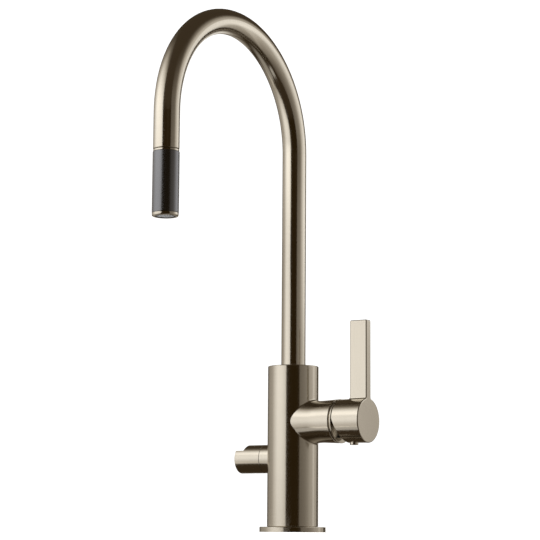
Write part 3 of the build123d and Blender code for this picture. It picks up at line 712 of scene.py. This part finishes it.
def weavePaint(name):
    # the same braid drawn on a smooth tube, so that it doesn't stretch when the hose is drawn out. Its tone
    # is painted highlight on each ribbon's crown and painted shade at the ribbon's edges, where it dips
    # under the other way's ribbons, and in the grooves between filaments.
    look = weaveLook
    material, paint = newPaint(name)
    x, y, z = paint.point()
    around = (y - hose["axis"][1]).angle(x) * (hose["ribbons"] / (2.0 * math.pi))
    climb = z * (hose["ribbons"] * hose["turns"])
    first, second = around + climb, around - climb
    over = (first.floor() + second.floor()).pingPong(1.0)  # 1 where the first way's ribbon lies on top
    width = first.fraction() * over + second.fraction() * (1.0 - over)
    length = second.fraction() * over + first.fraction() * (1.0 - over)
    middle = width * 2.0 - 1.0
    crown = (1.0 - middle * middle * look["roundness"]) * (length * math.pi).sine().root()
    filament = filamentsAcross(middle)
    # painted highlight on the crowns, painted shade at the ribbon edges, dips and filament grooves
    share = (crown * look["crown"] + filament * look["filament"]).clamp()
    height = crown * look["relief"][0] + filament * look["relief"][1]
    paint.finish(paint.node("BsdfPrincipled", {}, {
        "Base Color": paint.mix(share, hose["paintedFibreShade"], hose["light"]),
        "Roughness": look["roughness"] - crown * look["sheen"],
        "Normal": paint.bump(height, look["bump"], look["bumpDepth"])}))
    return material


def braidTree():
    g = Geometry("hoseBraid", {"Ribbons": "Int", "Corners": "Int", "Radius": "Float", "Turns": "Float",
                               "Weave": "Float", "Width": "Float", "Thickness": "Float", "Step": "Float",
                               "Material": "Material"})
    line = g.node("GeometryNodeResampleCurve", {"mode": "LENGTH"}, {
        "Curve": g.given("Geometry"), "Length": g.given("Step")})
    length = g.node("GeometryNodeSplineParameter", {}, {}, "Length")
    normal = g.node("GeometryNodeInputNormal", {}, {})
    tangent = g.node("GeometryNodeInputTangent", {}, {})
    binormal = g.vector("CROSS_PRODUCT", tangent, normal)
    half = g.given("Width") / 2.0
    thin = g.given("Thickness") / 2.0
    section = g.node("GeometryNodeCurvePrimitiveCircle", {}, {
        "Resolution": g.given("Corners"), "Radius": 1.0})
    where = g.node("ShaderNodeSeparateXYZ", {}, {0: g.node("GeometryNodeInputPosition", {}, {})})
    section = g.node("GeometryNodeStoreNamedAttribute", {"domain": "POINT"}, {
        "Geometry": section, "Name": "across", "Value": where.out("Y")})
    flat = g.node("ShaderNodeCombineXYZ", {}, {0: where.out("X") * thin, 1: where.out("Y") * half, 2: 0.0})
    section = g.node("GeometryNodeSetPosition", {}, {"Geometry": section, "Position": flat})
    ways = []
    for way in (1.0, -1.0):
        copies = g.node("GeometryNodeDuplicateElements", {"domain": "SPLINE"}, {
            "Geometry": line, "Amount": g.given("Ribbons")})
        index = copies.out("Duplicate Index")
        twist = length * g.given("Turns") * (2.0 * math.pi)
        angle = index / g.given("Ribbons") * (2.0 * math.pi) + twist * way
        wave = (twist * g.given("Ribbons")).cosine()
        radius = g.given("Radius") + wave * g.given("Weave") * way
        outwards = g.vector("ADD", g.stretched(normal, angle.cosine()),
                            g.stretched(binormal, angle.sine()))
        held = g.node("GeometryNodeCaptureAttribute", {"capture": "outwards"}, {
            "Geometry": copies, "outwards": outwards})
        placed = g.node("GeometryNodeSetPosition", {}, {
            "Geometry": held, "Offset": g.stretched(outwards, radius)})
        faced = g.node("GeometryNodeSetCurveNormal", {"mode": "FREE"}, {
            "Curve": placed, "Normal": held.out("outwards")})
        ways.append(g.node("GeometryNodeCurveToMesh", {}, {
            "Curve": faced, "Profile Curve": section, "Fill Caps": True}))
    g.finish(g.join(ways))
    return g


def linerTree():
    g = Geometry("hoseLiner", {"Outer": "Float", "Bore": "Float", "Sides": "Int", "Step": "Float",
                               "Material": "Material"})
    line = g.node("GeometryNodeResampleCurve", {"mode": "LENGTH"}, {
        "Curve": g.given("Geometry"), "Length": g.given("Step")})
    skins = []
    for wall in ("Outer", "Bore"):
        circle = g.node("GeometryNodeCurvePrimitiveCircle", {}, {
            "Resolution": g.given("Sides"), "Radius": g.given(wall)})
        skins.append(g.node("GeometryNodeCurveToMesh", {}, {
            "Curve": line, "Profile Curve": circle, "Fill Caps": False}))
    g.finish(g.join(skins))
    return g


def closeEnds(piece, ends, bore, outer):
    # joins the two skins of an open tube with a ring at each end, and turns every face outwards
    shape = bmesh.new()
    shape.from_mesh(piece.data)
    rims = [edge for edge in shape.edges if edge.is_boundary]
    wall = (bore + outer) / 2.0
    for end in (Vector(place) for place in ends):
        outside = [edge for edge in rims if wall < (edge.verts[0].co - end).length < 2.0 * outer]
        inside = [edge.verts[0] for edge in rims if (edge.verts[0].co - end).length < wall]
        inside += [edge.verts[1] for edge in rims if (edge.verts[1].co - end).length < wall]
        for edge in outside:
            first, second = edge.verts
            third = min(inside, key=lambda vert: (vert.co - second.co).length)
            fourth = min(inside, key=lambda vert: (vert.co - first.co).length)
            shape.faces.new((first, second, third, fourth))
    bmesh.ops.recalc_face_normals(shape, faces=shape.faces)
    shape.to_mesh(piece.data)
    shape.free()


def centreLine(name, points):
    curve = bpy.data.curves.new(name, "CURVE")
    curve.dimensions = "3D"
    spline = curve.splines.new("POLY")
    spline.points.add(len(points) - 1)
    for point, place in zip(spline.points, points):
        point.co = (*place, 1.0)
    line = bpy.data.objects.new(name, curve)
    bpy.context.scene.collection.objects.link(line)
    return line


def archLine(start, bends):
    # up the riser from a height, then over the half circle
    reach, top = spoutLine["reach"], spoutLine["height"]
    turns = [math.pi * k / bends for k in range(bends + 1)]
    arch = [(0.0, reach * (math.cos(turn) - 1.0), top + reach * math.sin(turn)) for turn in turns]
    return [(0.0, 0.0, start)] + arch


linerRubber = plainPaint("hoseLiner", hose["liner"], (0.55, 0.1), 2200.0, (0.15, 0.00003))
ribbonFibre = ribbonPaint("hoseRibbons")
wovenSkin = weavePaint("hoseWeave")
braid, liner = braidTree(), linerTree()
lowerRoute = [(0.0, 0.0, corner[2]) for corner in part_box("hose_lower")]
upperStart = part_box("hose_upper")[0][2] + hose["faceGap"]
hoseRuns = {
    "hose_lower": {"body": "column", "step": 0.00055, "route": lowerRoute},
    "hose_upper": {"body": "spout", "step": 0.0011, "route": archLine(upperStart, hose["archBends"])},
}
for node, run in hoseRuns.items():
    laid = hose["radius"] - hose["weave"] - hose["ribbonThickness"] / 2.0
    woven = grow(node + "_braid", centreLine(node + "_line", run["route"]), braid, {
        "Ribbons": hose["ribbons"], "Corners": hose["ribbonCorners"], "Radius": laid,
        "Turns": hose["turns"], "Weave": hose["weave"], "Width": hose["ribbonWidth"],
        "Thickness": hose["ribbonThickness"], "Step": run["step"], "Material": ribbonFibre})
    tube = grow(node + "_liner", centreLine(node + "_line", run["route"]), liner, {
        "Outer": hose["linerRadius"], "Bore": hose["bore"], "Sides": hose["linerSides"],
        "Step": hose["linerStep"], "Material": linerRubber})
    closeEnds(tube, (run["route"][0], run["route"][-1]), hose["bore"], hose["linerRadius"])
    for piece in (woven, tube):
        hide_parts(node)
        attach(piece, run["body"])
    print(node, "braided,", len(woven.data.polygons), "faces")


def pullHose():
    # the run that is drawn out: a smooth tube with close rings
    low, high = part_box("hose_pull")[0][2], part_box("hose_pull")[1][2]
    rings = hose["pullRings"]
    heights = [low + (high - low) * k / rings for k in range(rings + 1)]
    outline = [(hose["radius"], z) for z in heights] + [(hose["bore"], z) for z in reversed(heights)]
    piece = lathe("hose_pull_run", outline, hose["axis"], hose["pullSides"], wovenSkin)
    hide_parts("hose_pull")
    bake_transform(piece)


pullHose()
print("hose woven")


# The threaded shank: a tube with one helical thread, plain where the body takes it.
shank = {
    "radius": 0.017,
    "root": 0.01630,
    "bore": 0.0155,
    "pitch": 0.0015,
    "foot": 0.00135,  # the thread's width at its foot
    "crest": 0.0003,
    "sunk": 0.00005,  # how deep its foot lies in the tube
    "chamfer": 0.0008,
    "threadStart": 0.0016,  # above its lower end
    "threadTop": -0.0015,
    "sides": 96,
}


def threadTree():
    g = Geometry("shankThread", {"Turns": "Float", "Height": "Float", "Root": "Float", "Depth": "Float",
                                 "Foot": "Float", "Crest": "Float", "Lift": "Float", "Sides": "Int",
                                 "Material": "Material"})
    helix = g.node("GeometryNodeCurveSpiral", {}, {
        "Resolution": g.given("Sides"), "Rotations": g.given("Turns"), "Start Radius": g.given("Root"),
        "End Radius": g.given("Root"), "Height": g.given("Height")})
    upright = g.node("GeometryNodeSetCurveNormal", {"mode": "Z_UP"}, {"Curve": helix})
    tooth = g.node("GeometryNodeCurvePrimitiveQuadrilateral", {"mode": "TRAPEZOID"}, {
        "Height": g.given("Depth"), "Bottom Width": g.given("Foot"), "Top Width": g.given("Crest"),
        "Offset": 0.0})
    thread = g.node("GeometryNodeCurveToMesh", {}, {
        "Curve": upright, "Profile Curve": tooth, "Fill Caps": True})
    lift = g.node("ShaderNodeCombineXYZ", {}, {0: 0.0, 1: 0.0, 2: g.given("Lift")})
    raised = g.node("GeometryNodeSetPosition", {}, {"Geometry": thread, "Offset": lift})
    g.finish(g.join([g.given("Geometry"), raised]))
    return g


def threadedShank():
    low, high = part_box("threaded_shank")[0][2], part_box("threaded_shank")[1][2]
    brass = finishes["brass_raw"]
    outline = [(shank["bore"], low), (shank["root"] - shank["chamfer"], low),
               (shank["root"], low + shank["chamfer"]), (shank["root"], shank["threadTop"]),
               (shank["radius"], shank["threadTop"] + shank["chamfer"]), (shank["radius"], high),
               (shank["bore"], high)]
    core = lathe("shank_core", outline, (0.0, 0.0), shank["sides"], brass)
    start = low + shank["threadStart"]
    height = shank["threadTop"] - start
    depth = shank["radius"] - shank["root"]
    piece = grow("threaded_shank_cut", core, threadTree(), {
        "Turns": height / shank["pitch"], "Height": height,
        "Root": shank["root"] + (depth - shank["sunk"]) / 2.0, "Depth": depth + shank["sunk"],
        "Foot": shank["foot"], "Crest": shank["crest"], "Lift": start, "Sides": shank["sides"],
        "Material": brass})
    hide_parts("threaded_shank")
    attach(piece, "column")


threadedShank()
print("shank threaded")
